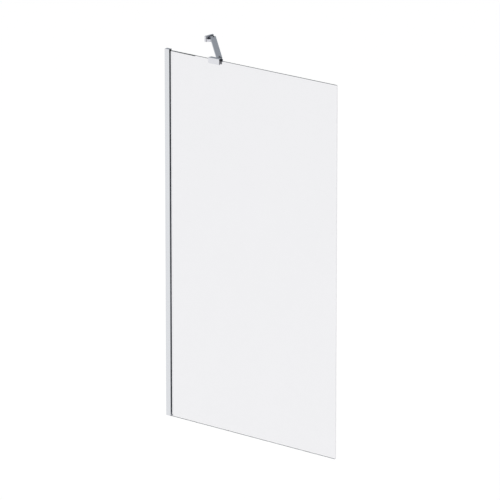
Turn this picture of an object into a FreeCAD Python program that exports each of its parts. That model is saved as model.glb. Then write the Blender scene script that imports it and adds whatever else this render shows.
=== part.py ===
"""Fixed glass bath screen with a slim wall profile and a 45 degree brace arm.

Millimetres.  +X runs along the glass from the wall to the free edge, +Y points to the wet side
behind the glass, +Z is up.  The origin lies on the wall plane, in the glass's mid-plane, at half
the glass's height, which is the middle of the row of wall-screw holes.
"""

import FreeCAD, Part
import math
import os

from FreeCAD import Vector

# ---------------------------------------------------------------- glass
GLASS_HEIGHT = 1400.0
SCREEN_WIDTH = 810.0            # wall plane to the free edge
GLASS_THICKNESS = 6.0
GLASS_CORNER_RADIUS = 3.0       # the two free corners
GLASS_ARRIS = 0.4               # ground edge chamfer

# ---------------------------------------------------------------- wall profile and what it holds
PROFILE_WIDTH = 22.0            # front lip, along the glass
REAR_LIP_SETBACK = 3.5          # the wet-side lip is this much shorter
LIP_WALL = 1.5
WEB_WALL = 2.0                  # the wall that is screwed to the building
PROFILE_EDGE_RADIUS = 0.8
PROFILE_LIFT = 1.0              # underside of the bottom cap above the glass's bottom edge
PROFILE_HEADROOM = 1.0          # top of the extrusion above the glass
CAP_PLATE = 2.0
TOP_CAP_PLATE = 3.0
TOP_PLUG_DEPTH = 8.0
TOP_PLUG_LENGTH = 3.3
BOTTOM_TONGUE_HEIGHT = 8.0
BOTTOM_TONGUE_LENGTH = 9.5
CAP_SETBACK = 0.3               # cap behind the wall plane
CAP_CLEARANCE = 0.3

CHANNEL_WALL = 1.5
CHANNEL_WEB = 1.2
SCREW_HEAD_ROOM = 6.0           # web to the back of the glass channel
CHANNEL_MOUTH_SETBACK = 1.5     # channel end inside the front lip; it is flush with the rear one
CHANNEL_END_GAP = 2.0           # channel to each cap's plug or tongue
SLIDING_GAP = 0.3
GASKET_WALL = 1.2
GASKET_BED = 2.0                # rubber behind the glass's edge
GASKET_LIP = 1.0                # rubber that covers the channel's ends

WALL_HOLE_RADIUS = 2.75
WALL_HOLE_COUNT = 4
WALL_HOLE_END = 100.0           # first and last hole from the glass's bottom and top edge
LOCK_SCREW_RADIUS = 1.25
LOCK_SCREW_HEAD_RADIUS = 2.5
LOCK_SCREW_HEAD_HEIGHT = 1.8
LOCK_SCREW_COUNT = 3
LOCK_SCREW_END = 175.0
SLOT_CLEARANCE = 0.25
SLOT_RIM = 0.65                 # metal left past each end of an adjusting slot
DRIVE_WIDTH = 0.7
DRIVE_LENGTH = 2.8

# ---------------------------------------------------------------- brace arm
PIVOT_DISTANCE = 304.0
BRACE_ANGLE = 45.0              # between the arm and the glass
ARM_WIDTH = 22.0
ARM_THICKNESS = 8.0
ARM_OVERHANG = 7.0              # arm past each pivot
ARM_CORNER_RADIUS = 2.0
ARM_EDGE_CHAMFER = 1.0
BUSH_WALL = 2.0
PIVOT_RADIUS = 3.0
PIVOT_CLEARANCE = 0.05
PIVOT_HEAD_RADIUS = 5.0
PIVOT_HEAD_HEIGHT = 2.0
PIVOT_HEAD_GAP = 0.1
PIVOT_SOCKET_FLAT = 4.0
PIVOT_THREAD_RADIUS = 2.5
PIVOT_THREAD_LENGTH = 8.0
WASHER_THICKNESS = 0.5
WASHER_RADIUS = 8.0

# ---------------------------------------------------------------- brackets at the arm's ends
LUG_THICKNESS = 10.0
LUG_END = 9.5                   # pivot centre to a lug's end
LUG_CORNER_RADIUS = 4.0
LUG_EDGE_RADIUS = 0.5
LUG_STEP = 3.0                  # underside of a lug above the clamp's underside
BRACKET_REACH = 12.75           # bracket face to pivot centre
BRACKET_EDGE_RADIUS = 0.6

CLAMP_LENGTH = 52.0
CLAMP_FRONT_JAW = 4.75
CLAMP_REAR_JAW = 3.75
CLAMP_BRIDGE = 6.0
CLAMP_HEADROOM = 0.5            # bridge above the glass's top edge
CLAMP_LUG_HALF_BASE = 14.0
CLAMP_LUG_HALF_END = 12.0
PAD_THICKNESS = 1.0
PAD_INSET = 1.5                 # pad inside the jaw's outline
PRESSURE_PLATE = 1.0
CLAMP_GRUB_RADIUS = 2.5
CLAMP_GRUB_SPACING = 40.0
GRUB_SOCKET_FLAT = 2.5          # hexagon across flats
GRUB_SOCKET_DEPTH = 2.0

FOOT_LENGTH = 45.0
FOOT_DEPTH = 9.5
FOOT_RISE = 2.0                 # foot higher than the clamp and the arm
FOOT_CORNER_RADIUS = 5.5        # its two upright front edges
FOOT_LUG_HALF_END = 9.5
FOOT_LUG_INSET = 0.2            # lug inside the foot's ends where it leaves them
FOOT_SIDE_WALL = 3.5
FOOT_FRONT_WALL = 3.75
BACKPLATE_THICKNESS = 3.0
BACKPLATE_GAP = 0.3
BACKPLATE_HOLE_RADIUS = 2.25
BACKPLATE_HOLE_SPACING = 26.0
BACKPLATE_SINK_RADIUS = 4.0
BACKPLATE_SINK_DEPTH = 1.5
FOOT_GRUB_RADIUS = 1.25
FOOT_GRUB_SOCKET_FLAT = 1.3

# ---------------------------------------------------------------- worked out
GLASS_TOP = GLASS_HEIGHT / 2
GLASS_BOTTOM = -GLASS_HEIGHT / 2
GLASS_FACE = GLASS_THICKNESS / 2
CHANNEL_INNER = GLASS_FACE + GASKET_WALL
CHANNEL_OUTER = CHANNEL_INNER + CHANNEL_WALL
LIP_INNER = CHANNEL_OUTER + SLIDING_GAP
PROFILE_FACE = LIP_INNER + LIP_WALL
REAR_LIP_WIDTH = PROFILE_WIDTH - REAR_LIP_SETBACK
CAP_BOTTOM = GLASS_BOTTOM + PROFILE_LIFT
PROFILE_BOTTOM = CAP_BOTTOM + CAP_PLATE
PROFILE_TOP = GLASS_TOP + PROFILE_HEADROOM

CHANNEL_START = WEB_WALL + SCREW_HEAD_ROOM
CHANNEL_FRONT_END = PROFILE_WIDTH - CHANNEL_MOUTH_SETBACK
CHANNEL_REAR_END = REAR_LIP_WIDTH
GASKET_START = CHANNEL_START + CHANNEL_WEB
GLASS_START = GASKET_START + GASKET_BED
LOCK_SCREW_X = (GASKET_START + CHANNEL_REAR_END) / 2
SLOT_HALF_WIDTH = LOCK_SCREW_RADIUS + SLOT_CLEARANCE
SLOT_START = GASKET_START + SLOT_RIM + SLOT_HALF_WIDTH
SLOT_END = CHANNEL_REAR_END - SLOT_RIM - SLOT_HALF_WIDTH
ADJUST_IN = SLOT_END - LOCK_SCREW_X         # glass travel towards the wall
CHANNEL_BOTTOM = PROFILE_BOTTOM + BOTTOM_TONGUE_HEIGHT + CHANNEL_END_GAP
CHANNEL_TOP = PROFILE_TOP - TOP_PLUG_DEPTH - CHANNEL_END_GAP

ARM_DIRECTION = Vector(-math.cos(math.radians(BRACE_ANGLE)), math.sin(math.radians(BRACE_ANGLE)), 0)
CLAMP_FRONT = -(GLASS_FACE + PAD_THICKNESS + CLAMP_FRONT_JAW)
SLOT_FRONT = -(GLASS_FACE + PAD_THICKNESS)
SLOT_REAR = GLASS_FACE + PAD_THICKNESS + PRESSURE_PLATE
CLAMP_REAR = SLOT_REAR + CLAMP_REAR_JAW
CLAMP_X = FOOT_DEPTH + BRACKET_REACH - PIVOT_DISTANCE * ARM_DIRECTION.x
CLAMP_PIVOT = Vector(CLAMP_X, CLAMP_REAR + BRACKET_REACH, 0)
FOOT_PIVOT = CLAMP_PIVOT + ARM_DIRECTION * PIVOT_DISTANCE

BRACKET_TOP = GLASS_TOP + CLAMP_HEADROOM + CLAMP_BRIDGE
LUG_TOP = BRACKET_TOP - ARM_THICKNESS - WASHER_THICKNESS
LUG_BOTTOM = LUG_TOP - LUG_THICKNESS
BRACKET_BOTTOM = LUG_BOTTOM - LUG_STEP
FOOT_TOP = BRACKET_TOP + FOOT_RISE
FOOT_BOTTOM = BRACKET_BOTTOM + FOOT_RISE
ARM_BOTTOM = LUG_TOP + WASHER_THICKNESS
BUSH_RADIUS = PIVOT_RADIUS + PIVOT_CLEARANCE + BUSH_WALL
GRUB_HEIGHT = (BRACKET_BOTTOM + GLASS_TOP + CLAMP_HEADROOM) / 2

UP = Vector(0, 0, 1)
THROUGH = 1.0                   # how far a cutting tool runs past the wall it cuts


def block(x0, x1, y0, y1, z0, z1):
    """A box between two corners."""
    return Part.makeBox(x1 - x0, y1 - y0, z1 - z0, Vector(x0, y0, z0))


def rod(radius, start, direction, length):
    """A round bar."""
    return Part.makeCylinder(radius, length, start, direction)


def spread(count, first, last):
    """Evenly spaced places from first to last."""
    if count == 1:
        return [(first + last) / 2]
    return [first + (last - first) * i / (count - 1) for i in range(count)]


def edges_along(shape, direction, keep=lambda middle: True):
    """The straight edges parallel to a direction whose middle passes a test."""
    found = []
    for edge in shape.Edges:
        if edge.Curve.TypeId != "Part::GeomLine":
            continue
        if abs(edge.Curve.Direction.dot(direction)) < 0.999:
            continue
        if keep(edge.CenterOfMass):
            found.append(edge)
    return found


def hexagon(across_flats, start, direction, depth):
    """A hexagon socket's cutting tool, which starts at a face and goes inwards."""
    radius = across_flats / math.sqrt(3)
    side = direction.cross(UP) if abs(direction.z) < 0.9 else Vector(1, 0, 0)
    side.normalize()
    other = direction.cross(side)
    corners = []
    for i in range(7):
        turn = math.radians(60 * i)
        corners.append(start + side * (radius * math.cos(turn)) + other * (radius * math.sin(turn)))
    return Part.Face(Part.makePolygon(corners)).extrude(direction * depth)


def lug(pivot, outward, reach, half_base, half_end):
    """A flat lug that tapers from where it leaves its bracket to a blunt end past the pivot."""
    along = UP.cross(outward)
    base = Vector(pivot.x, pivot.y, LUG_BOTTOM) - outward * reach
    end = Vector(pivot.x, pivot.y, LUG_BOTTOM) + outward * LUG_END
    corners = [base - along * half_base, base + along * half_base, end + along * half_end, end - along * half_end]
    shape = Part.Face(Part.makePolygon(corners + corners[:1])).extrude(UP * LUG_THICKNESS)
    shape = shape.makeFillet(LUG_CORNER_RADIUS, edges_along(shape, UP, lambda m: (m - end).dot(outward) > -0.01))
    rim = []
    for edge in shape.Edges:
        level = edge.BoundBox.ZLength < 0.001
        if level and (edge.CenterOfMass - base).dot(outward) > 0.01:
            rim.append(edge)
    return shape.makeFillet(LUG_EDGE_RADIUS, rim)


def socket_screw(pivot):
    """A low-head shoulder screw that holds the arm down on a lug."""
    head_base = BRACKET_TOP + PIVOT_HEAD_GAP
    at = Vector(pivot.x, pivot.y, head_base)
    head = rod(PIVOT_HEAD_RADIUS, at, UP, PIVOT_HEAD_HEIGHT)
    rim = [e for e in head.Edges if e.Curve.TypeId == "Part::GeomCircle" and e.CenterOfMass.z > at.z + 0.1]
    head = head.makeFillet(PIVOT_HEAD_HEIGHT * 0.3, rim)
    socket_top = Vector(pivot.x, pivot.y, head_base + PIVOT_HEAD_HEIGHT)
    head = head.cut(hexagon(PIVOT_SOCKET_FLAT, socket_top, -UP, PIVOT_HEAD_HEIGHT * 0.7))
    shoulder = rod(PIVOT_RADIUS, Vector(pivot.x, pivot.y, LUG_TOP), UP, head_base - LUG_TOP)
    thread_start = Vector(pivot.x, pivot.y, LUG_TOP - PIVOT_THREAD_LENGTH)
    thread = rod(PIVOT_THREAD_RADIUS, thread_start, UP, PIVOT_THREAD_LENGTH)
    return head.fuse([shoulder, thread]).removeSplitter()


def ring(inner, outer, at, height):
    """A flat ring or a bush standing on a point."""
    return rod(outer, at, UP, height).cut(rod(inner, at, UP, height))


def grub_screw(radius, face, inward, length, flat):
    """A headless screw whose socket is flush with a face."""
    body = rod(radius, face, inward, length)
    return body.cut(hexagon(flat, face, inward, min(GRUB_SOCKET_DEPTH, length * 0.6)))


# ---------------------------------------------------------------- pieces fixed to the wall
def profile_section(z):
    """The extrusion's outline: a web against the wall and two lips, the wet-side one shorter."""
    r = PROFILE_EDGE_RADIUS
    slant = r * (1 - math.sqrt(0.5))
    front, rear = -PROFILE_FACE, PROFILE_FACE
    end = PROFILE_WIDTH
    rear_end = REAR_LIP_WIDTH

    def v(x, y):
        return Vector(x, y, z)

    def line(a, b):
        return Part.LineSegment(a, b).toShape()

    def corner(a, middle, b):
        return Part.Arc(a, middle, b).toShape()

    return Part.Wire([
        line(v(0, rear), v(0, front)),
        line(v(0, front), v(end - r, front)),
        corner(v(end - r, front), v(end - slant, front + slant), v(end, front + r)),
        line(v(end, front + r), v(end, -LIP_INNER)),
        line(v(end, -LIP_INNER), v(WEB_WALL, -LIP_INNER)),
        line(v(WEB_WALL, -LIP_INNER), v(WEB_WALL, LIP_INNER)),
        line(v(WEB_WALL, LIP_INNER), v(rear_end, LIP_INNER)),
        line(v(rear_end, LIP_INNER), v(rear_end, rear - r)),
        corner(v(rear_end, rear - r), v(rear_end - slant, rear - slant), v(rear_end - r, rear)),
        line(v(rear_end - r, rear), v(0, rear)),
    ])


def wall_hole_heights():
    return spread(WALL_HOLE_COUNT, GLASS_BOTTOM + WALL_HOLE_END, GLASS_TOP - WALL_HOLE_END)


def lock_screw_heights():
    return spread(LOCK_SCREW_COUNT, GLASS_BOTTOM + LOCK_SCREW_END, GLASS_TOP - LOCK_SCREW_END)


def make_wall_profile():
    shape = Part.Face(profile_section(PROFILE_BOTTOM)).extrude(UP * (PROFILE_TOP - PROFILE_BOTTOM))
    tools = []
    for z in wall_hole_heights():
        start = Vector(-THROUGH, 0, z)
        tools.append(rod(WALL_HOLE_RADIUS, start, Vector(1, 0, 0), WEB_WALL + 2 * THROUGH))
    for z in lock_screw_heights():
        start = Vector(LOCK_SCREW_X, LIP_INNER - SLIDING_GAP / 2, z)
        tools.append(rod(LOCK_SCREW_RADIUS, start, Vector(0, 1, 0), LIP_WALL + THROUGH))
    return shape.cut(tools)


def cap_plate(z, thickness):
    """A plate over the extrusion's end, its two corners rounded as the front lip is."""
    plate = block(CAP_SETBACK, PROFILE_WIDTH, -PROFILE_FACE, PROFILE_FACE, z, z + thickness)
    corners = edges_along(plate, UP, lambda m: m.x > PROFILE_WIDTH - 0.01)
    return plate.makeFillet(PROFILE_EDGE_RADIUS, corners)


def make_profile_top_cap():
    plate = cap_plate(PROFILE_TOP, TOP_CAP_PLATE)
    inner = LIP_INNER - CAP_CLEARANCE
    x0 = WEB_WALL + CAP_CLEARANCE
    plug = block(x0, x0 + TOP_PLUG_LENGTH, -inner, inner, PROFILE_TOP - TOP_PLUG_DEPTH, PROFILE_TOP)
    return plate.fuse(plug).removeSplitter()


def make_profile_bottom_cap():
    plate = cap_plate(CAP_BOTTOM, CAP_PLATE)
    notch_half = GLASS_FACE + CAP_CLEARANCE
    notch_start = GLASS_START - ADJUST_IN - CAP_CLEARANCE
    z0, z1 = CAP_BOTTOM - THROUGH, PROFILE_BOTTOM + THROUGH
    plate = plate.cut(block(notch_start, PROFILE_WIDTH + THROUGH, -notch_half, notch_half, z0, z1))
    inner = LIP_INNER - CAP_CLEARANCE
    top = PROFILE_BOTTOM + BOTTOM_TONGUE_HEIGHT
    front_end = PROFILE_WIDTH - CAP_CLEARANCE
    rear_end = REAR_LIP_WIDTH - CAP_CLEARANCE
    front = block(front_end - BOTTOM_TONGUE_LENGTH, front_end, -inner, -notch_half, PROFILE_BOTTOM, top)
    rear = block(rear_end - BOTTOM_TONGUE_LENGTH, rear_end, notch_half, inner, PROFILE_BOTTOM, top)
    return plate.fuse([front, rear]).removeSplitter()


def make_channel_lock_screws():
    screws = []
    for z in lock_screw_heights():
        face = Vector(LOCK_SCREW_X, PROFILE_FACE, z)
        head = rod(LOCK_SCREW_HEAD_RADIUS, face, Vector(0, 1, 0), LOCK_SCREW_HEAD_HEIGHT)
        rim = [e for e in head.Edges if e.Curve.TypeId == "Part::GeomCircle" and e.CenterOfMass.y > face.y + 0.1]
        head = head.makeFillet(LOCK_SCREW_HEAD_HEIGHT * 0.5, rim)
        tip = CHANNEL_INNER + CAP_CLEARANCE
        shank = rod(LOCK_SCREW_RADIUS, Vector(LOCK_SCREW_X, tip, z), Vector(0, 1, 0), PROFILE_FACE - tip)
        depth = LOCK_SCREW_HEAD_HEIGHT * 0.5
        y0 = PROFILE_FACE + LOCK_SCREW_HEAD_HEIGHT - depth
        y1 = y0 + depth + THROUGH
        half, arm = DRIVE_WIDTH / 2, DRIVE_LENGTH / 2
        upright = block(LOCK_SCREW_X - half, LOCK_SCREW_X + half, y0, y1, z - arm, z + arm)
        level = block(LOCK_SCREW_X - arm, LOCK_SCREW_X + arm, y0, y1, z - half, z + half)
        screws.append(head.cut([upright, level]).fuse(shank).removeSplitter())
    return Part.makeCompound(screws)


# ---------------------------------------------------------------- pieces that slide in the profile
def u_section(start, wall, front_end, rear_end, inner, outer, z0, z1):
    """An upright channel that is open towards the free edge."""
    web = block(start, start + wall, -outer, outer, z0, z1)
    front = block(start + wall, front_end, -outer, -inner, z0, z1)
    rear = block(start + wall, rear_end, inner, outer, z0, z1)
    return web.fuse([front, rear]).removeSplitter()


def make_glass_channel():
    shape = u_section(
        CHANNEL_START, CHANNEL_WEB, CHANNEL_FRONT_END, CHANNEL_REAR_END,
        CHANNEL_INNER, CHANNEL_OUTER, CHANNEL_BOTTOM, CHANNEL_TOP,
    )
    tools = []
    half = SLOT_HALF_WIDTH
    y0 = CHANNEL_INNER - CAP_CLEARANCE
    depth = CHANNEL_WALL + 2 * CAP_CLEARANCE
    for z in lock_screw_heights():
        tools.append(block(SLOT_START, SLOT_END, y0, y0 + depth, z - half, z + half))
        for x in (SLOT_START, SLOT_END):
            tools.append(rod(half, Vector(x, y0, z), Vector(0, 1, 0), depth))
    return shape.cut(tools)


def make_glass_edge_gasket():
    """A U of rubber about the glass's edge, with a lip over each end of the channel."""
    z0, z1 = CHANNEL_BOTTOM, CHANNEL_TOP
    lining = u_section(
        GASKET_START, GASKET_BED, CHANNEL_FRONT_END, CHANNEL_REAR_END, GLASS_FACE, CHANNEL_INNER, z0, z1,
    )
    front_end = CHANNEL_FRONT_END + GASKET_LIP
    rear_end = CHANNEL_REAR_END + GASKET_LIP
    front = block(CHANNEL_FRONT_END, front_end, -CHANNEL_OUTER, -GLASS_FACE, z0, z1)
    rear = block(CHANNEL_REAR_END, rear_end, GLASS_FACE, CHANNEL_OUTER, z0, z1)
    return lining.fuse([front, rear]).removeSplitter()


def make_glass_panel():
    shape = block(GLASS_START, SCREEN_WIDTH, -GLASS_FACE, GLASS_FACE, GLASS_BOTTOM, GLASS_TOP)
    free = edges_along(shape, Vector(0, 1, 0), lambda m: m.x > SCREEN_WIDTH - 0.01)
    shape = shape.makeFillet(GLASS_CORNER_RADIUS, free)
    outline = []
    for edge in shape.Edges:
        middle = edge.CenterOfMass
        on_face = abs(abs(middle.y) - GLASS_FACE) < 0.01
        if on_face and middle.x > GLASS_START + 0.01:
            outline.append(edge)
    return shape.makeChamfer(GLASS_ARRIS, outline)


# ---------------------------------------------------------------- clamp on the glass's top edge
def make_glass_clamp():
    x0, x1 = CLAMP_X - CLAMP_LENGTH / 2, CLAMP_X + CLAMP_LENGTH / 2
    shape = block(x0, x1, CLAMP_FRONT, CLAMP_REAR, BRACKET_BOTTOM, BRACKET_TOP)
    shape = shape.makeFillet(BRACKET_EDGE_RADIUS, shape.Edges)
    z1 = GLASS_TOP + CLAMP_HEADROOM
    shape = shape.cut(block(x0 - THROUGH, x1 + THROUGH, SLOT_FRONT, SLOT_REAR, BRACKET_BOTTOM - THROUGH, z1))
    root = Vector(CLAMP_X, CLAMP_REAR - BRACKET_EDGE_RADIUS, 0)
    half = CLAMP_LUG_HALF_BASE
    nose = lug(CLAMP_PIVOT, Vector(0, 1, 0), BRACKET_REACH, half, CLAMP_LUG_HALF_END)
    foot = block(root.x - half, root.x + half, root.y, CLAMP_REAR, LUG_BOTTOM, LUG_TOP)
    shape = shape.fuse([nose, foot]).removeSplitter()
    thread_start = Vector(CLAMP_PIVOT.x, CLAMP_PIVOT.y, LUG_TOP - PIVOT_THREAD_LENGTH)
    tools = [rod(PIVOT_THREAD_RADIUS, thread_start, UP, PIVOT_THREAD_LENGTH + THROUGH)]
    for x in clamp_grub_places():
        start = Vector(x, SLOT_REAR - CAP_CLEARANCE, GRUB_HEIGHT)
        tools.append(rod(CLAMP_GRUB_RADIUS, start, Vector(0, 1, 0), CLAMP_REAR_JAW + THROUGH))
    return shape.cut(tools)


def clamp_grub_places():
    return (CLAMP_X - CLAMP_GRUB_SPACING / 2, CLAMP_X + CLAMP_GRUB_SPACING / 2)


def jaw_lining(y0, y1):
    """A flat strip that lines one jaw."""
    x0, x1 = CLAMP_X - CLAMP_LENGTH / 2 + PAD_INSET, CLAMP_X + CLAMP_LENGTH / 2 - PAD_INSET
    return block(x0, x1, y0, y1, BRACKET_BOTTOM + PAD_INSET, GLASS_TOP - GLASS_ARRIS)


def make_clamp_front_pad():
    return jaw_lining(SLOT_FRONT, -GLASS_FACE)


def make_clamp_rear_pad():
    return jaw_lining(GLASS_FACE, GLASS_FACE + PAD_THICKNESS)


def make_clamp_pressure_plate():
    return jaw_lining(GLASS_FACE + PAD_THICKNESS, SLOT_REAR)


def make_clamp_grub_screws():
    screws = []
    for x in clamp_grub_places():
        face = Vector(x, CLAMP_REAR, GRUB_HEIGHT)
        screws.append(grub_screw(CLAMP_GRUB_RADIUS, face, Vector(0, -1, 0), CLAMP_REAR_JAW, GRUB_SOCKET_FLAT))
    return Part.makeCompound(screws)


def make_pivot_washer(pivot):
    return ring(PIVOT_RADIUS + PIVOT_CLEARANCE, WASHER_RADIUS, Vector(pivot.x, pivot.y, LUG_TOP), WASHER_THICKNESS)


# ---------------------------------------------------------------- brace arm
def make_brace_arm():
    length = PIVOT_DISTANCE + 2 * ARM_OVERHANG
    shape = block(-ARM_OVERHANG, length - ARM_OVERHANG, -ARM_WIDTH / 2, ARM_WIDTH / 2, 0, ARM_THICKNESS)
    shape = shape.makeFillet(ARM_CORNER_RADIUS, edges_along(shape, UP))
    level = [e for e in shape.Edges if e.BoundBox.ZLength < 0.001]
    shape = shape.makeChamfer(ARM_EDGE_CHAMFER, level)
    tools = []
    for x in (0, PIVOT_DISTANCE):
        tools.append(rod(BUSH_RADIUS, Vector(x, 0, -THROUGH), UP, ARM_THICKNESS + 2 * THROUGH))
    shape = shape.cut(tools)
    shape.rotate(Vector(0, 0, 0), UP, 180 - BRACE_ANGLE)
    shape.translate(CLAMP_PIVOT + UP * ARM_BOTTOM)
    return shape


def make_arm_pivot_bushes():
    bushes = []
    for pivot in (CLAMP_PIVOT, FOOT_PIVOT):
        at = Vector(pivot.x, pivot.y, ARM_BOTTOM)
        bushes.append(ring(PIVOT_RADIUS + PIVOT_CLEARANCE, BUSH_RADIUS, at, ARM_THICKNESS))
    return Part.makeCompound(bushes)


# ---------------------------------------------------------------- foot on the wall
def foot_cavity(gap):
    """The hollow behind the foot, or with a gap the plate that fills it: (y0, y1, z0, z1)."""
    half = FOOT_LENGTH / 2 - FOOT_SIDE_WALL - gap
    y0, y1 = FOOT_PIVOT.y - half, FOOT_PIVOT.y + half
    return y0, y1, FOOT_BOTTOM + FOOT_SIDE_WALL + gap, FOOT_TOP - FOOT_SIDE_WALL - gap


def foot_grub_place():
    return Vector(BACKPLATE_THICKNESS / 2, FOOT_PIVOT.y, FOOT_BOTTOM)


def make_wall_foot():
    y0, y1 = FOOT_PIVOT.y - FOOT_LENGTH / 2, FOOT_PIVOT.y + FOOT_LENGTH / 2
    shape = block(0, FOOT_DEPTH, y0, y1, FOOT_BOTTOM, FOOT_TOP)
    corners = edges_along(shape, UP, lambda m: m.x > FOOT_DEPTH - 0.01)
    shape = shape.makeFillet(FOOT_CORNER_RADIUS, corners)
    level = [e for e in shape.Edges if e.BoundBox.ZLength < 0.001 and e.CenterOfMass.x > 0.01]
    shape = shape.makeFillet(BRACKET_EDGE_RADIUS, level)
    reach = BRACKET_REACH + FOOT_CORNER_RADIUS
    nose = lug(FOOT_PIVOT, Vector(1, 0, 0), reach, FOOT_LENGTH / 2 - FOOT_LUG_INSET, FOOT_LUG_HALF_END)
    shape = shape.fuse(nose).removeSplitter()
    cavity = block(-THROUGH, FOOT_DEPTH - FOOT_FRONT_WALL, *foot_cavity(0))
    thread_start = Vector(FOOT_PIVOT.x, FOOT_PIVOT.y, LUG_TOP - PIVOT_THREAD_LENGTH)
    thread = rod(PIVOT_THREAD_RADIUS, thread_start, UP, PIVOT_THREAD_LENGTH + THROUGH)
    place = foot_grub_place()
    grub = rod(FOOT_GRUB_RADIUS, place - UP * THROUGH, UP, FOOT_SIDE_WALL + 2 * THROUGH)
    return shape.cut([cavity, thread, grub])


def make_foot_backplate():
    shape = block(0, BACKPLATE_THICKNESS, *foot_cavity(BACKPLATE_GAP))
    middle = (FOOT_BOTTOM + FOOT_TOP) / 2
    tools = []
    for side in (-1, 1):
        y = FOOT_PIVOT.y + side * BACKPLATE_HOLE_SPACING / 2
        start = Vector(-THROUGH, y, middle)
        tools.append(rod(BACKPLATE_HOLE_RADIUS, start, Vector(1, 0, 0), BACKPLATE_THICKNESS + 2 * THROUGH))
        sink = Vector(BACKPLATE_THICKNESS - BACKPLATE_SINK_DEPTH, y, middle)
        tools.append(Part.makeCone(
            BACKPLATE_HOLE_RADIUS, BACKPLATE_SINK_RADIUS, BACKPLATE_SINK_DEPTH, sink, Vector(1, 0, 0),
        ))
    return shape.cut(tools)


def make_foot_grub_screw():
    length = FOOT_SIDE_WALL + BACKPLATE_GAP
    return grub_screw(FOOT_GRUB_RADIUS, foot_grub_place(), UP, length, FOOT_GRUB_SOCKET_FLAT)


PIECES = {
    "wall_profile": make_wall_profile,
    "profile_top_cap": make_profile_top_cap,
    "profile_bottom_cap": make_profile_bottom_cap,
    "channel_lock_screws": make_channel_lock_screws,
    "glass_channel": make_glass_channel,
    "glass_edge_gasket": make_glass_edge_gasket,
    "glass_panel": make_glass_panel,
    "glass_clamp": make_glass_clamp,
    "clamp_front_pad": make_clamp_front_pad,
    "clamp_rear_pad": make_clamp_rear_pad,
    "clamp_pressure_plate": make_clamp_pressure_plate,
    "clamp_grub_screws": make_clamp_grub_screws,
    "clamp_pivot_washer": lambda: make_pivot_washer(CLAMP_PIVOT),
    "clamp_pivot_screw": lambda: socket_screw(CLAMP_PIVOT),
    "brace_arm": make_brace_arm,
    "arm_pivot_bushes": make_arm_pivot_bushes,
    "foot_pivot_washer": lambda: make_pivot_washer(FOOT_PIVOT),
    "foot_pivot_screw": lambda: socket_screw(FOOT_PIVOT),
    "wall_foot": make_wall_foot,
    "foot_backplate": make_foot_backplate,
    "foot_grub_screw": make_foot_grub_screw,
}

os.makedirs("parts", exist_ok=True)
for name, make in PIECES.items():
    piece = make()
    piece.exportStep("parts/" + name + ".step")
    box = piece.BoundBox
    sides = "x %.2f..%.2f  y %.2f..%.2f  z %.2f..%.2f" % (
        box.XMin, box.XMax, box.YMin, box.YMax, box.ZMin, box.ZMax,
    )
    print("%-22s %d solid  %12.1f mm3  %s" % (name, len(piece.Solids), piece.Volume, sides))
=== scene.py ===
import math

import bmesh
import bpy
from bpy.props import FloatProperty, FloatVectorProperty, PointerProperty
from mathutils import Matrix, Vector


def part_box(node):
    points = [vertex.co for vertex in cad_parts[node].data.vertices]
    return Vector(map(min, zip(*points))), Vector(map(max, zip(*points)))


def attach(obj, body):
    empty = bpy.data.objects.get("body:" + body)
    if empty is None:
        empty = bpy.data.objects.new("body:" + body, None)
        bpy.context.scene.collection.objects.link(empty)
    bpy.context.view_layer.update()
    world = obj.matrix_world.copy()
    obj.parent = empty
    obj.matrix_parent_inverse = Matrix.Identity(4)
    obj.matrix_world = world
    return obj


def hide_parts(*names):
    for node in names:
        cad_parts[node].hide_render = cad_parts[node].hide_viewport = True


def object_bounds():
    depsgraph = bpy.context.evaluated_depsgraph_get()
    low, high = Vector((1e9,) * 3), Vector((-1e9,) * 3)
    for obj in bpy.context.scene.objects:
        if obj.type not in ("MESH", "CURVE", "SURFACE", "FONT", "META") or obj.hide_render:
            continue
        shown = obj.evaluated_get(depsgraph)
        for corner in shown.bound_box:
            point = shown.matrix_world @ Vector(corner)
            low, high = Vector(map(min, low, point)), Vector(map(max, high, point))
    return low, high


bl_info = {
    "name": "Glass Bath Screen",
    "version": (1, 0, 0),
    "blender": (4, 5, 0),
    "location": "View3D > Sidebar > Bath Screen",
    "description": "Dresses a fixed glass bath screen with its metal, glass and rubber, and sets its stage",
    "category": "Object",
}

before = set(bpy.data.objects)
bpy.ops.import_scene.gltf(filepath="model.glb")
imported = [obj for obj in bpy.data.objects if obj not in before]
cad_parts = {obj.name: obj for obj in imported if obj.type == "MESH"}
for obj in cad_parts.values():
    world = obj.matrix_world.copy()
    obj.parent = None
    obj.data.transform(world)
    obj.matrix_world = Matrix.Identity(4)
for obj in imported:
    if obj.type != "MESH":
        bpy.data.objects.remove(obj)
CAD_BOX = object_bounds()
MM = 0.001

# How many times each pattern repeats in a metre
CAST_CLOUD = 28
CAST_RIPPLE = 260
WATER_MARKS = 170
DRAWN_BANDS = 240
DRAWN_LINES = 2600
LATHE_RINGS = 900
TURNED_GRIME = 420
STEEL_MOTTLE = 700
RUBBER_BLOOM = 90
RUBBER_SKIN = 3000
NYLON_CLOUD = 350
GLASS_FILM = 7

DRAWN_STRETCH = 0.006  # a drawn pattern's repeats along the bar, as a share of those across it
MARK_DULLNESS = 0.07  # roughness that a water mark adds
FILM_DULLNESS = 0.004  # the glass's roughness where its film is thickest
FINE_RELIEF = 0.01 * MM
SOFT_RELIEF = 0.02 * MM

# Finishes of small parts, as shares of their material's colour or roughness
CHANNEL_SHADE = 0.95
CHANNEL_DULLNESS = 1.4
CAP_DULLNESS = 1.3
GRUB_SHADE = 0.8

# A clamp pad's backing and ribs, as shares of its thickness or of the ribs' pitch
BACKING_SHARE = 0.55
RIB_DEPTH_SHARE = 0.32  # half of a rib's depth, which the backing overlaps
RIB_RADIUS_SHARE = 0.33
RIB_SIDES = 12

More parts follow.
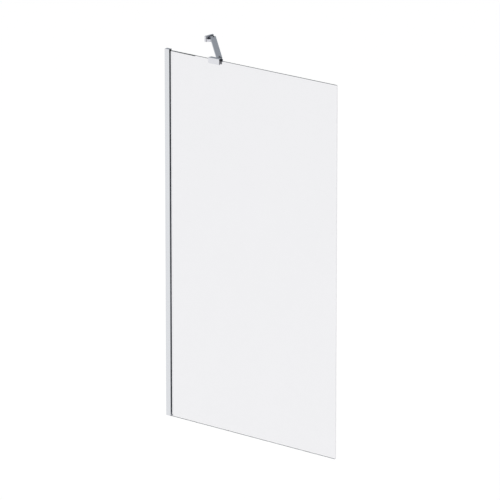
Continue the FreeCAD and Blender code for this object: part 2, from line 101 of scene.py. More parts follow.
# Painted shade on the glass's level edges, and a painted reflection of the gasket on its top edge near the
# wall, both as a near-black base colour
EDGE_FADE = 0.1 * MM
MIRROR_FADE = 2 * MM
MIRROR_START = 0.6  # the painted reflection's depth at the wall, as a share of its depth at its far end

# The studio as polished metal sees it: a direction, its level there, and the cosines between which it changes
DARK_SIDE = ((0.99, 0.1, 0.0), 0.045, 0.15, 0.66)
GREY_CEILING = ((0.0, 0.6, 0.8), 0.355, -0.10, 0.65)
SHADE_TINT = (0.885, 0.995, 1.12)  # colour of the studio's dark parts

FLOOR_HALF = 40.0
FLOOR_VIEWPOINT = (0.2, 0, 0.6)  # where the floor's level in a mirror is reckoned from
SOFTBOX_SIDE = 6.0
SOFTBOX_PLACE = (-1.2, 0.8, 7.25)
SOFTBOX_AIM = (0.4, 0, 0)
VIEW_CENTRE = (0.405, 0, 0)
VIEW_OFFSET = (-1.99 * MM, 13.24 * MM)  # from that centre to the picture's, to its right and up
CLIP_RANGE = (0.5, 200)


# ---------------------------------------------------------------- settings
class MetalSettings(bpy.types.PropertyGroup):
    chrome_colour: FloatVectorProperty(
        name="Chrome", description="Colour of the plated clamp, arm and foot",
        subtype="COLOR", size=3, min=0, max=1, default=(0.733, 0.739, 0.776),
    )
    chrome_roughness: FloatProperty(
        name="Chrome roughness", description="Blur of the plating's reflections",
        subtype="FACTOR", min=0, max=1, default=0.09,
    )
    extrusion_colour: FloatVectorProperty(
        name="Polished aluminium", description="Colour of the wall profile and the glass channel",
        subtype="COLOR", size=3, min=0, max=1, default=(0.728, 0.744, 0.772),
    )
    extrusion_roughness: FloatProperty(
        name="Aluminium roughness", description="Blur of the profile's reflections",
        subtype="FACTOR", min=0, max=1, default=0.15,
    )
    steel_colour: FloatVectorProperty(
        name="Stainless steel", description="Colour of the screws, the pressure plate and the backplate",
        subtype="COLOR", size=3, min=0, max=1, default=(0.46, 0.465, 0.48),
    )


class GlassSettings(bpy.types.PropertyGroup):
    tint: FloatVectorProperty(
        name="Tint", description="Colour of light that has passed through the sheet",
        subtype="COLOR", size=3, min=0, max=1, default=(0.860, 0.858, 0.8755),
    )
    body_colour: FloatVectorProperty(
        name="Body colour", description="Colour that builds up along the sheet, seen at its edges",
        subtype="COLOR", size=3, min=0, max=1, default=(0.72, 0.80, 0.79),
    )
    body_density: FloatProperty(
        name="Body density", description="How fast that colour builds up", min=0, max=50, default=2.0,
    )
    body_refraction: FloatProperty(
        name="Body IOR", description="How much the sheet bends light. Low, so its ends stay clear",
        min=1, max=2, default=1.15,
    )
    face_refraction: FloatProperty(
        name="Face IOR", description="How much its faces mirror", min=1, max=2, default=1.51,
    )
    # The level edges' near-black colour is painted shade, standing in for how dark the edges look as light
    # passes through them. The mirror depth and reach set a painted reflection of the gasket on the top edge
    # near the wall.
    edge_colour: FloatVectorProperty(
        name="Level edges", description="Colour of light that has passed through the top or bottom edge",
        subtype="COLOR", size=3, min=0, max=1, default=(0.010, 0.012, 0.013),
    )
    edge_depth: FloatProperty(
        name="Edge depth", description="How far the dark of a level edge reaches in, its arris included",
        subtype="DISTANCE", min=0, max=0.01, default=0.4 * MM,
    )
    mirror_depth: FloatProperty(
        name="Mirror depth", description="The same at the far end of where the top edge mirrors the gasket",
        subtype="DISTANCE", min=0, max=0.01, default=2.9 * MM,
    )
    mirror_reach: FloatProperty(
        name="Mirror reach", description="How far from the wall the top edge mirrors the gasket",
        subtype="DISTANCE", min=0, max=0.5, default=0.1425,
    )


class RubberSettings(bpy.types.PropertyGroup):
    seal_colour: FloatVectorProperty(
        name="Seal", description="Colour of the glass-edge gasket",
        subtype="COLOR", size=3, min=0, max=1, default=(0.125, 0.138, 0.168),
    )
    pad_colour: FloatVectorProperty(
        name="Pads", description="Colour of the clamp's pads",
        subtype="COLOR", size=3, min=0, max=1, default=(0.56, 0.565, 0.575),
    )
    nylon_colour: FloatVectorProperty(
        name="Nylon", description="Colour of the pivot washers and bushes",
        subtype="COLOR", size=3, min=0, max=1, default=(0.70, 0.70, 0.68),
    )
    rib_pitch: FloatProperty(
        name="Pad rib pitch", description="Distance between the ribs on a clamp pad",
        subtype="DISTANCE", min=0.0005, max=0.01, default=1.5 * MM,
    )


class StageSettings(bpy.types.PropertyGroup):
    floor_drop: FloatProperty(
        name="Floor drop", description="Height of the glass's bottom edge above the floor, a bath's height",
        subtype="DISTANCE", min=0, max=2, default=0.55,
    )
    azimuth: FloatProperty(
        name="Azimuth", description="Camera's turn about the screen from straight in front",
        subtype="ANGLE", default=math.radians(40.40),
    )
    elevation: FloatProperty(
        name="Elevation", description="Camera's height angle", subtype="ANGLE", default=math.radians(16.24),
    )
    distance: FloatProperty(
        name="Distance", description="Camera to the screen's middle", subtype="DISTANCE", default=20.153,
    )
    lens: FloatProperty(
        name="Lens", description="Focal length in millimetres on a 36 mm frame",
        unit="CAMERA", default=399.07,
    )
    softbox_power: FloatProperty(
        name="Softbox", description="Power of the overhead softbox", unit="POWER", min=0, default=60.0,
    )
    ambient: FloatProperty(
        name="Ambient", description="Level of the studio's light on the screen and the floor",
        subtype="FACTOR", min=0, max=1, default=0.80,
    )
    floor_colour: FloatVectorProperty(
        name="Floor", description="Colour of the floor where light falls on it",
        subtype="COLOR", size=3, min=0, max=1, default=(0.3065, 0.3003, 0.294),
    )
    floor_glow: FloatProperty(
        name="Floor glow", description="The floor's own white, as the eye sees it",
        subtype="FACTOR", min=0, max=1, default=0.755,
    )


class ScreenSettings(bpy.types.PropertyGroup):
    metal: PointerProperty(type=MetalSettings)
    glass: PointerProperty(type=GlassSettings)
    rubber: PointerProperty(type=RubberSettings)
    stage: PointerProperty(type=StageSettings)


# ---------------------------------------------------------------- material helpers
class Tree:
    """A small writer for node trees."""

    def __init__(self, tree):
        self.tree = tree

    def add(self, kind, **settings):
        node = self.tree.nodes.new(kind)
        for key, value in settings.items():
            if key in node.inputs:
                node.inputs[key].default_value = value
            else:
                setattr(node, key, value)
        return node

    def link(self, source, target):
        self.tree.links.new(source, target)

    def feed(self, target, value):
        """Sets a socket to a plain value, or links it to another node's output."""
        if isinstance(value, bpy.types.NodeSocket):
            self.link(value, target)
        else:
            target.default_value = value

    def math(self, operation, *values):
        node = self.add("ShaderNodeMath", operation=operation)
        for socket, value in zip(node.inputs, values):
            self.feed(socket, value)
        return node.outputs[0]

    def span(self, value, low, high, from_low=0.3, from_high=0.7, interpolation="LINEAR"):
        node = self.add("ShaderNodeMapRange", interpolation_type=interpolation)
        node.inputs["From Min"].default_value = from_low
        node.inputs["From Max"].default_value = from_high
        node.inputs["To Min"].default_value = low
        node.inputs["To Max"].default_value = high
        self.link(value, node.inputs["Value"])
        return node.outputs["Result"]

    def mix(self, factor, first, second):
        node = self.add("ShaderNodeMix", data_type="RGBA")
        self.link(factor, node.inputs[0])
        for socket, colour in ((node.inputs[6], first), (node.inputs[7], second)):
            self.feed(socket, colour if isinstance(colour, bpy.types.NodeSocket) else (*colour, 1))
        return node.outputs[2]


def scaled(colour, factor):
    return tuple(min(1.0, c * factor) for c in colour)


class Finish(Tree):
    """A new material's tree, with the patterns that the finishes share."""

    def __init__(self, name):
        self.material = bpy.data.materials.new(name)
        self.material.use_nodes = True
        super().__init__(self.material.node_tree)
        self.shader = self.tree.nodes["Principled BSDF"]
        self.output = self.tree.nodes["Material Output"]
        self.place = self.add("ShaderNodeTexCoord").outputs["Object"]

    def set(self, **values):
        """Sets the shader's inputs to plain values or to other nodes' outputs."""
        for key, value in values.items():
            self.feed(self.shader.inputs[key.replace("_", " ")], value)

    def noise(self, scale, stretch=(1, 1, 1), detail=3.0, kind="ShaderNodeTexNoise"):
        mapping = self.add("ShaderNodeMapping", Scale=stretch)
        self.link(self.place, mapping.inputs["Vector"])
        node = self.add(kind, Scale=scale)
        if "Detail" in node.inputs:
            node.inputs["Detail"].default_value = detail
        self.link(mapping.outputs["Vector"], node.inputs["Vector"])
        return node.outputs[0]

    def shades(self, pattern, colour, darkest, lightest):
        """A colour that a pattern takes between two multiples of itself."""
        return self.mix(self.span(pattern, 0, 1), scaled(colour, darkest), scaled(colour, lightest))

    def bump(self, height, distance, strength, under=None):
        node = self.add("ShaderNodeBump", Strength=strength, Distance=distance)
        self.link(height, node.inputs["Height"])
        if under is not None:
            self.link(under, node.inputs["Normal"])
        return node.outputs["Normal"]


def chrome_material(name, colour, roughness):
    """Plated metal: a faint ripple from the casting under it, and dried water marks that dull it."""
    n = Finish(name)
    cloud = n.noise(CAST_CLOUD, detail=4)
    spots = n.noise(WATER_MARKS, kind="ShaderNodeTexVoronoi")
    near_spot = n.span(spots, 1, 0, from_low=0.02, from_high=0.30)
    marks = n.math("MULTIPLY", near_spot, n.span(cloud, 0, 1, from_low=0.5, from_high=0.75))
    plain = n.span(cloud, roughness * 0.8, roughness * 1.2)
    n.set(
        Metallic=1.0,
        Base_Color=n.shades(cloud, colour, darkest=0.985, lightest=1.01),
        Roughness=n.math("MULTIPLY_ADD", marks, MARK_DULLNESS, plain),
        Normal=n.bump(n.noise(CAST_RIPPLE, detail=2), SOFT_RELIEF, strength=0.05),
    )
    return n.material


def drawn_material(name, colour, roughness, along):
    """Polished extrusion or bar, with fine lines along its length. along is 0, 1 or 2 for X, Y or Z."""
    n = Finish(name)
    stretch = [1.0, 1.0, 1.0]
    stretch[along] = DRAWN_STRETCH
    lines = n.noise(DRAWN_LINES, stretch, detail=2)
    bands = n.noise(DRAWN_BANDS, stretch, detail=3)
    n.set(
        Metallic=1.0,
        Base_Color=n.shades(bands, colour, darkest=0.98, lightest=1.012),
        Roughness=n.span(bands, roughness * 0.85, roughness * 1.2),
        Normal=n.bump(lines, FINE_RELIEF, strength=0.12, under=n.bump(bands, SOFT_RELIEF, strength=0.10)),
    )
    return n.material


def turned_material(name, colour, centre):
    """Stainless steel with the fine rings that a lathe leaves about an upright axis."""
    n = Finish(name)
    mapping = n.add("ShaderNodeMapping", Location=[-c for c in centre])
    n.link(n.place, mapping.inputs["Vector"])
    rings = n.add(
        "ShaderNodeTexWave", wave_type="RINGS", rings_direction="Z",
        Scale=LATHE_RINGS, Distortion=0.6, Detail=2,
    )
    n.link(mapping.outputs["Vector"], rings.inputs["Vector"])
    n.set(
        Metallic=1.0,
        Base_Color=n.shades(n.noise(TURNED_GRIME), colour, darkest=0.9, lightest=1.06),
        Roughness=n.span(rings.outputs["Fac"], 0.2, 0.3, from_low=0, from_high=1),
        Normal=n.bump(rings.outputs["Fac"], FINE_RELIEF, strength=0.15),
    )
    return n.material


def steel_material(name, colour):
    """Plain stainless steel with a pickled, slightly mottled face."""
    n = Finish(name)
    mottle = n.noise(STEEL_MOTTLE, detail=4)
    n.set(
        Metallic=1.0,
        Base_Color=n.shades(mottle, colour, darkest=0.9, lightest=1.08),
        Roughness=n.span(mottle, 0.24, 0.38),
        Normal=n.bump(mottle, FINE_RELIEF, strength=0.2),
    )
    return n.material


def rubber_material(name, colour):
    """Matt extruded rubber, with bloom and a fine skin."""
    n = Finish(name)
    bloom = n.noise(RUBBER_BLOOM, (1, 1, 0.15), detail=4)
    n.set(
        Base_Color=n.shades(bloom, colour, darkest=0.85, lightest=1.35),
        Roughness=n.span(bloom, 0.5, 0.68),
        Normal=n.bump(n.noise(RUBBER_SKIN, detail=2), FINE_RELIEF, strength=0.25),
    )
    return n.material


def nylon_material(name, colour):
    """Natural nylon with a waxy moulded face."""
    n = Finish(name)
    cloud = n.noise(NYLON_CLOUD)
    n.set(
        Subsurface_Weight=0.15, Subsurface_Scale=2 * MM,
        Base_Color=n.shades(cloud, colour, darkest=0.93, lightest=1.03),
        Roughness=n.span(cloud, 0.38, 0.5),
        Normal=n.bump(cloud, SOFT_RELIEF, strength=0.1),
    )
    return n.material


def glass_material(name, settings, top):
    """Clear toughened sheet: a trace of dried film, and painted shade on the level edges, a near-black base
    colour where they would look dark, the top one with a deeper painted reflection of the gasket near the
    wall. top is the height of the top edge, and the bottom edge is as far below zero."""
    n = Finish(name)
    place = n.add("ShaderNodeSeparateXYZ")
    n.link(n.place, place.inputs[0])
    along, height = place.outputs["X"], place.outputs["Z"]
    # Painted shade: the top and bottom edges, to their depth, take the near-black edge colour
    edge_start = top - settings.edge_depth
    edge = n.span(n.math("ABSOLUTE", height), 0, 1, from_low=edge_start - EDGE_FADE, from_high=edge_start)

    # Painted reflection: near the wall the top edge's dark reaches deeper, standing in for the gasket
    # mirrored in it
    depth, reach = settings.mirror_depth, settings.mirror_reach
    rim = n.span(along, top - MIRROR_START * depth, top - depth, from_low=0.0, from_high=reach)
    above_rim = n.span(n.math("SUBTRACT", height, rim), 0, 1, from_low=-EDGE_FADE, from_high=0.0)
    near_wall = n.span(along, 1, 0, from_low=reach - MIRROR_FADE, from_high=reach + MIRROR_FADE)
    # The painted shade and the painted reflection together, mixed in below as a near-black base colour
    dark = n.math("MAXIMUM", edge, n.math("MULTIPLY", above_rim, near_wall))

    film = n.noise(GLASS_FILM, (1, 1, 0.6), detail=5)
    clear = n.shades(film, tuple(settings.tint), darkest=0.997, lightest=1.003)
    n.set(
        Transmission_Weight=1.0, IOR=settings.body_refraction,
        Coat_Weight=1.0, Coat_Roughness=0.0, Coat_IOR=settings.face_refraction,
        Base_Color=n.mix(dark, clear, tuple(settings.edge_colour)),
        Roughness=n.span(film, 0.0, FILM_DULLNESS, from_low=0.45, from_high=0.8),
    )
    body = n.add(
        "ShaderNodeVolumeAbsorption", Color=(*settings.body_colour, 1), Density=settings.body_density,
    )
    n.link(body.outputs["Volume"], n.output.inputs["Volume"])
    return n.material


def dress(node, material):
    """Gives a CAD node its material."""
    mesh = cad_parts[node].data
    mesh.materials.clear()
    mesh.materials.append(material)
    for polygon in mesh.polygons:
        polygon.material_index = 0


def settings_of(context):
    return context.scene.bath_screen


# ---------------------------------------------------------------- geometry nodes helpers
class Maker(Tree):
    """Builds one geometry tree with named inputs, runs it and returns a plain mesh object."""

    def __init__(self, name):
        super().__init__(bpy.data.node_groups.new(name, "GeometryNodeTree"))
        for way in ("INPUT", "OUTPUT"):
            self.tree.interface.new_socket("Geometry", in_out=way, socket_type="NodeSocketGeometry")
        self.start = self.add("NodeGroupInput")
        self.end = self.add("NodeGroupOutput")
        self.sockets = {}

    def ask(self, name, kind, value):
        """Adds a named input and gives its value for this piece."""
        socket = self.tree.interface.new_socket(name, in_out="INPUT", socket_type=kind)
        self.sockets[name] = (socket.identifier, value)
        return self.start.outputs[name]

    def transform(self, geometry, **places):
        node = self.add("GeometryNodeTransform")
        self.link(geometry, node.inputs["Geometry"])
        for key, source in places.items():
            self.link(source, node.inputs[key])
        return node.outputs["Geometry"]

    def close(self, geometry, material):
        realize = self.add("GeometryNodeRealizeInstances")
        paint = self.add("GeometryNodeSetMaterial", Material=material)
        self.link(geometry, realize.inputs["Geometry"])
        self.link(realize.outputs["Geometry"], paint.inputs["Geometry"])
        self.link(paint.outputs["Geometry"], self.end.inputs["Geometry"])

    def bake(self, name, material):
        """The tree's result as a plain mesh object at the origin."""
        holder = bpy.data.objects.new(name + "_maker", bpy.data.meshes.new(name + "_maker"))
        bpy.context.scene.collection.objects.link(holder)
        modifier = holder.modifiers.new("maker", "NODES")
        modifier.node_group = self.tree
        for identifier, value in self.sockets.values():
            modifier[identifier] = value
        bpy.context.view_layer.update()
        result = bpy.data.meshes.new_from_object(holder.evaluated_get(bpy.context.evaluated_depsgraph_get()))
        holder.modifiers.remove(modifier)
        bpy.data.objects.remove(holder)
        result.name = name
        result.materials.clear()
        result.materials.append(material)
        piece = bpy.data.objects.new(name, result)
        bpy.context.scene.collection.objects.link(piece)
        return piece


def outward(mesh):
    """Merges doubles and turns every face outwards."""
    work = bmesh.new()
    work.from_mesh(mesh)
    bmesh.ops.remove_doubles(work, verts=work.verts, dist=1e-6)
    bmesh.ops.recalc_face_normals(work, faces=work.faces)
    work.to_mesh(mesh)
    work.free()


# ---------------------------------------------------------------- pieces
class SCREEN_OT_glass_panel(bpy.types.Operator):
    """Clear toughened glass for the fixed panel"""

    bl_idname = "bath_screen.glass_panel"
    bl_label = "Glass panel"

    def execute(self, context):
        low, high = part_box("glass_panel")
        dress("glass_panel", glass_material("toughened_glass", settings_of(context).glass, high.z))
        return {"FINISHED"}


class SCREEN_OT_wall_profile(bpy.types.Operator):
    """Polished extrusion for the wall profile and the channel that slides in it"""

    bl_idname = "bath_screen.wall_profile"
    bl_label = "Wall profile and glass channel"

    def execute(self, context):
        metal = settings_of(context).metal
        colour, roughness = tuple(metal.extrusion_colour), metal.extrusion_roughness
        dress("wall_profile", drawn_material("polished_extrusion", colour, roughness, 2))
        channel = scaled(colour, CHANNEL_SHADE)
        dress("glass_channel", drawn_material("channel_extrusion", channel, roughness * CHANNEL_DULLNESS, 2))
        return {"FINISHED"}


class SCREEN_OT_profile_caps(bpy.types.Operator):
    """Plated caps that close the wall profile's ends"""

    bl_idname = "bath_screen.profile_caps"
    bl_label = "Profile caps"

    def execute(self, context):
        metal = settings_of(context).metal
        roughness = metal.chrome_roughness * CAP_DULLNESS
        plated = chrome_material("plated_cap", tuple(metal.chrome_colour), roughness)
        dress("profile_top_cap", plated)
        dress("profile_bottom_cap", plated)
        return {"FINISHED"}


class SCREEN_OT_edge_gasket(bpy.types.Operator):
    """Rubber gasket that beds the glass's edge in its channel"""

    bl_idname = "bath_screen.edge_gasket"
    bl_label = "Glass-edge gasket"

    def execute(self, context):
        colour = tuple(settings_of(context).rubber.seal_colour)
        dress("glass_edge_gasket", rubber_material("gasket_rubber", colour))
        return {"FINISHED"}


class SCREEN_OT_glass_clamp(bpy.types.Operator):
    """Plated clamp on the glass's top edge, with its pressure plate"""

    bl_idname = "bath_screen.glass_clamp"
    bl_label = "Glass clamp"

    def execute(self, context):
        metal = settings_of(context).metal
        plated = chrome_material("plated_clamp", tuple(metal.chrome_colour), metal.chrome_roughness)
        dress("glass_clamp", plated)
        dress("clamp_pressure_plate", steel_material("pressure_plate_steel", tuple(metal.steel_colour)))
        return {"FINISHED"}


class SCREEN_OT_clamp_pads(bpy.types.Operator):
    """Ribbed rubber pads between the clamp's jaws and the glass"""

    bl_idname = "bath_screen.clamp_pads"
    bl_label = "Clamp pads"

    def execute(self, context):
        rubber = settings_of(context).rubber
        material = rubber_material("pad_rubber", tuple(rubber.pad_colour))
        for node, side in (("clamp_front_pad", -1), ("clamp_rear_pad", 1)):
            piece = self.make_pad(node, side, rubber.rib_pitch, material)
            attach(piece, "clamp")
            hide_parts(node)
        return {"FINISHED"}

    def make_pad(self, node, side, pitch, material):
        """A backing strip on the jaw, with upright ribs that press on the glass. side is which side of the
        glass the pad is on."""
        low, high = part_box(node)
        size = high - low
        middle = (low + high) / 2
        jaw_y, glass_y = (low.y, high.y) if side < 0 else (high.y, low.y)
        backing = size.y * BACKING_SHARE
        radius = pitch * RIB_RADIUS_SHARE
        ribs = max(2, int(size.x / pitch))

        maker = Maker(node + "_ribs")
        strip_size = maker.ask("Backing size", "NodeSocketVector", (size.x, backing, size.z))
        strip_place = maker.ask(
            "Backing place", "NodeSocketVector", (middle.x, jaw_y - side * backing / 2, middle.z),
        )
        count = maker.ask("Rib count", "NodeSocketInt", ribs)
        first = maker.ask("First rib", "NodeSocketVector", (low.x + pitch / 2, glass_y, low.z))
        step = maker.ask("Rib step", "NodeSocketVector", ((size.x - pitch) / (ribs - 1), 0, 0))
        rib_radius = maker.ask("Rib radius", "NodeSocketFloat", radius)
        flattening = maker.ask("Rib flattening", "NodeSocketFloat", size.y * RIB_DEPTH_SHARE / radius)
        length = maker.ask("Rib length", "NodeSocketFloat", size.z)

        strip = maker.add("GeometryNodeMeshCube")
        maker.link(strip_size, strip.inputs["Size"])
        placed_strip = maker.transform(strip.outputs["Mesh"], Translation=strip_place)

        rib = maker.add("GeometryNodeMeshCylinder", Vertices=RIB_SIDES)
        maker.link(rib_radius, rib.inputs["Radius"])
        maker.link(length, rib.inputs["Depth"])
        flat = maker.add("ShaderNodeCombineXYZ", X=1.0, Z=1.0)
        maker.link(flattening, flat.inputs["Y"])
        lift = maker.add("ShaderNodeCombineXYZ")
        half_depth = maker.math("MULTIPLY", flattening, rib_radius)
        maker.link(maker.math("MULTIPLY", half_depth, float(side)), lift.inputs["Y"])
        maker.link(maker.math("MULTIPLY", length, 0.5), lift.inputs["Z"])
        flat_rib = maker.transform(rib.outputs["Mesh"], Scale=flat.outputs[0], Translation=lift.outputs[0])

        row = maker.add("GeometryNodeMeshLine")
        for source, target in ((count, "Count"), (first, "Start Location"), (step, "Offset")):
            maker.link(source, row.inputs[target])
        repeat = maker.add("GeometryNodeInstanceOnPoints")
        maker.link(row.outputs["Mesh"], repeat.inputs["Points"])
        maker.link(flat_rib, repeat.inputs["Instance"])
        join = maker.add("GeometryNodeJoinGeometry")
        for part in (placed_strip, repeat.outputs["Instances"]):
            maker.link(part, join.inputs["Geometry"])
        maker.close(join.outputs["Geometry"], material)
        piece = maker.bake(node.replace("_pad", "_ribbed_pad"), material)
        outward(piece.data)
        return piece


class SCREEN_OT_brace_arm(bpy.types.Operator):
    """Plated flat bar that braces the glass to the wall"""

    bl_idname = "bath_screen.brace_arm"
    bl_label = "Brace arm"

    def execute(self, context):
        metal = settings_of(context).metal
        plated = chrome_material("plated_arm", tuple(metal.chrome_colour), metal.chrome_roughness)
        dress("brace_arm", plated)
        return {"FINISHED"}


class SCREEN_OT_wall_foot(bpy.types.Operator):
    """Plated foot on the wall, its backplate and its grub screw"""

    bl_idname = "bath_screen.wall_foot"
    bl_label = "Wall foot"

    def execute(self, context):
        metal = settings_of(context).metal
        plated = chrome_material("plated_foot", tuple(metal.chrome_colour), metal.chrome_roughness)
        dress("wall_foot", plated)
        dress("foot_backplate", steel_material("backplate_steel", tuple(metal.steel_colour)))
        dress("foot_grub_screw", steel_material("foot_grub_steel", scaled(metal.steel_colour, GRUB_SHADE)))
        return {"FINISHED"}


class SCREEN_OT_pivots(bpy.types.Operator):
    """Pivot screws, washers and bushes at the arm's two ends"""

    bl_idname = "bath_screen.pivots"
    bl_label = "Arm pivots"

    def execute(self, context):
        settings = settings_of(context)
        steel = tuple(settings.metal.steel_colour)
        for node in ("clamp_pivot_screw", "foot_pivot_screw"):
            low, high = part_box(node)
            dress(node, turned_material(node + "_steel", steel, (low + high) / 2))
        nylon = nylon_material("pivot_nylon", tuple(settings.rubber.nylon_colour))
        for node in ("clamp_pivot_washer", "foot_pivot_washer", "arm_pivot_bushes"):
            dress(node, nylon)
        return {"FINISHED"}


class SCREEN_OT_small_screws(bpy.types.Operator):
    """Lock screws on the profile and grub screws in the clamp"""

    bl_idname = "bath_screen.small_screws"
    bl_label = "Lock and grub screws"

    def execute(self, context):
        steel = tuple(settings_of(context).metal.steel_colour)
        dress("channel_lock_screws", steel_material("lock_screw_steel", steel))
        dress("clamp_grub_screws", steel_material("grub_screw_steel", scaled(steel, GRUB_SHADE)))
        return {"FINISHED"}


# ---------------------------------------------------------------- stage
def studio_level():
    """A node group: how bright the studio looks in a direction to polished metal. The front and the left are
    white, the ceiling behind is grey and the right-hand side is dark, which gives the metal its contrast."""
    group = bpy.data.node_groups.new("studio_level", "ShaderNodeTree")
    group.interface.new_socket("Direction", in_out="INPUT", socket_type="NodeSocketVector")
    group.interface.new_socket("Level", in_out="OUTPUT", socket_type="NodeSocketFloat")
    t = Tree(group)
    start = t.add("NodeGroupInput")

    def part(direction, level, start_at, end_at):
        """1 away from a direction, and its level towards it."""
        node = t.add("ShaderNodeVectorMath", operation="DOT_PRODUCT")
        t.link(start.outputs["Direction"], node.inputs[0])
        node.inputs[1].default_value = Vector(direction).normalized()
        return t.span(node.outputs["Value"], 1.0, level, start_at, end_at, "SMOOTHSTEP")

    end = t.add("NodeGroupOutput")
    t.link(t.math("MULTIPLY", part(*DARK_SIDE), part(*GREY_CEILING)), end.inputs["Level"])
    return group


def level_of(t, group, direction):
    node = t.add("ShaderNodeGroup", node_tree=group)
    t.link(direction, node.inputs["Direction"])
    return node.outputs["Level"]


def seen_directly(t, path):
    """1 for what the eye sees, also through the glass, and 0 for what a mirror shows it."""
    unreflected = t.math("LESS_THAN", path.outputs["Glossy Depth"], 0.5)
    through_glass = t.math("MULTIPLY", path.outputs["Is Transmission Ray"], unreflected)
    return t.math("MAXIMUM", path.outputs["Is Camera Ray"], through_glass)


def surround(world, group, ambient):
    """A plain studio, white to the eye and through the glass, and with its own levels in the metal."""
    t = Tree(world.node_tree)
    t.tree.nodes.clear()
    place = t.add("ShaderNodeTexCoord")
    path = t.add("ShaderNodeLightPath")
    glossy = level_of(t, group, place.outputs["Generated"])
    in_metal = path.outputs["Is Glossy Ray"]
    plain = t.math("MULTIPLY_ADD", t.math("SUBTRACT", glossy, ambient), in_metal, ambient)
    strength = t.math("MULTIPLY_ADD", t.math("SUBTRACT", 1.0, plain), seen_directly(t, path), plain)
    background = t.add("ShaderNodeBackground")
    t.link(t.mix(strength, SHADE_TINT, (1, 1, 1)), background.inputs["Color"])
    t.link(strength, background.inputs["Strength"])
    t.link(background.outputs["Background"], t.add("ShaderNodeOutputWorld").inputs["Surface"])


def floor_material(group, colour, own_white):
    """Pale matt floor. Most of what the eye sees of it is its own white, and the rest takes the shadow. To a
    mirror behind the glass it has the studio's level instead."""
    n = Finish("pale_floor")
    n.set(Roughness=0.9, Specular_IOR_Level=0.0, Base_Color=(*colour, 1))
    path = n.add("ShaderNodeLightPath")
    seen = seen_directly(n, path)
    from_screen = n.add("ShaderNodeVectorMath", operation="SUBTRACT")
    n.link(n.place, from_screen.inputs[0])
    from_screen.inputs[1].default_value = FLOOR_VIEWPOINT
    aim = n.add("ShaderNodeVectorMath", operation="NORMALIZE")
    n.link(from_screen.outputs["Vector"], aim.inputs[0])
    level = level_of(n, group, aim.outputs["Vector"])
    mirrored = n.math("MULTIPLY", path.outputs["Is Transmission Ray"], n.math("SUBTRACT", 1.0, seen))
    share = n.math("MULTIPLY_ADD", mirrored, level, seen)
    glow = n.add("ShaderNodeEmission", Color=(1, 1, 1, 1))
    n.link(n.math("MULTIPLY", share, own_white), glow.inputs["Strength"])
    both = n.add("ShaderNodeAddShader")
    n.link(n.shader.outputs["BSDF"], both.inputs[0])
    n.link(glow.outputs["Emission"], both.inputs[1])
    n.link(both.outputs["Shader"], n.output.inputs["Surface"])
    return n.material


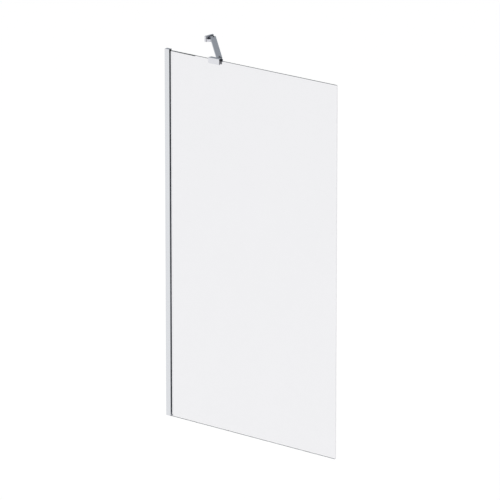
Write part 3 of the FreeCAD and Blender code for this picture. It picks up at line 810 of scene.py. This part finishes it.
class SCREEN_OT_stage(bpy.types.Operator):
    """Floor at a bath's height below the glass, soft light and the camera"""

    bl_idname = "bath_screen.stage"
    bl_label = "Stage"

    def execute(self, context):
        stage = settings_of(context).stage
        scene = context.scene
        group = studio_level()
        self.make_floor(stage, group)
        world = bpy.data.worlds.new("studio")
        world.use_nodes = True
        scene.world = world
        surround(world, group, stage.ambient)
        self.make_softbox(stage)
        self.make_camera(stage)
        scene.view_settings.view_transform = "Standard"
        return {"FINISHED"}

    def make_floor(self, stage, group):
        z = CAD_BOX[0].z - stage.floor_drop
        mesh = bpy.data.meshes.new("floor")
        corners = [(x * FLOOR_HALF, y * FLOOR_HALF, z) for x, y in ((-1, -1), (1, -1), (1, 1), (-1, 1))]
        mesh.from_pydata(corners, [], [(0, 1, 2, 3)])
        mesh.materials.append(floor_material(group, stage.floor_colour, stage.floor_glow))
        floor = bpy.data.objects.new("floor", mesh)
        floor.visible_glossy = False
        bpy.context.scene.collection.objects.link(floor)

    def make_softbox(self, stage):
        light = bpy.data.lights.new("overhead_softbox", "AREA")
        light.shape = "RECTANGLE"
        light.size = SOFTBOX_SIDE
        light.size_y = SOFTBOX_SIDE
        light.energy = stage.softbox_power
        lamp = bpy.data.objects.new("overhead_softbox", light)
        lamp.location = SOFTBOX_PLACE
        lamp.rotation_euler = (Vector(SOFTBOX_AIM) - lamp.location).to_track_quat("-Z", "Y").to_euler()
        lamp.visible_glossy = False
        lamp.visible_camera = False
        bpy.context.scene.collection.objects.link(lamp)

    def make_camera(self, stage):
        a, e = stage.azimuth, stage.elevation
        forward = Vector((-math.sin(a) * math.cos(e), math.cos(a) * math.cos(e), -math.sin(e)))
        right = Vector((math.cos(a), math.sin(a), 0))
        up = right.cross(forward)
        middle = Vector(VIEW_CENTRE) + right * VIEW_OFFSET[0] + up * VIEW_OFFSET[1]
        data = bpy.data.cameras.new("camera")
        data.lens = stage.lens
        data.sensor_width = 36
        data.clip_start, data.clip_end = CLIP_RANGE
        camera = bpy.data.objects.new("camera", data)
        camera.location = middle - forward * stage.distance
        camera.rotation_euler = forward.to_track_quat("-Z", "Y").to_euler()
        bpy.context.scene.collection.objects.link(camera)
        bpy.context.scene.camera = camera


PIECE_OPERATORS = (
    SCREEN_OT_glass_panel,
    SCREEN_OT_wall_profile,
    SCREEN_OT_profile_caps,
    SCREEN_OT_edge_gasket,
    SCREEN_OT_glass_clamp,
    SCREEN_OT_clamp_pads,
    SCREEN_OT_brace_arm,
    SCREEN_OT_wall_foot,
    SCREEN_OT_pivots,
    SCREEN_OT_small_screws,
    SCREEN_OT_stage,
)


class SCREEN_PT_panel(bpy.types.Panel):
    """Sizes, colours and pieces of the bath screen"""

    bl_idname = "SCREEN_PT_panel"
    bl_label = "Bath Screen"
    bl_space_type = "VIEW_3D"
    bl_region_type = "UI"
    bl_category = "Bath Screen"

    def draw(self, context):
        settings = settings_of(context)
        for group in ("metal", "glass", "rubber", "stage"):
            box = self.layout.box()
            box.label(text=group.capitalize())
            values = getattr(settings, group)
            for key in values.__annotations__:
                box.prop(values, key)
        for operator in PIECE_OPERATORS:
            self.layout.operator(operator.bl_idname)


CLASSES = (
    MetalSettings, GlassSettings, RubberSettings, StageSettings, ScreenSettings,
    *PIECE_OPERATORS, SCREEN_PT_panel,
)


def register():
    for cls in CLASSES:
        bpy.utils.register_class(cls)
    bpy.types.Scene.bath_screen = PointerProperty(type=ScreenSettings)


def unregister():
    del bpy.types.Scene.bath_screen
    for cls in reversed(CLASSES):
        bpy.utils.unregister_class(cls)


def main():
    register()
    for operator in PIECE_OPERATORS:
        group, name = operator.bl_idname.split(".")
        getattr(getattr(bpy.ops, group), name)()


if __name__ == "__main__":
    main()
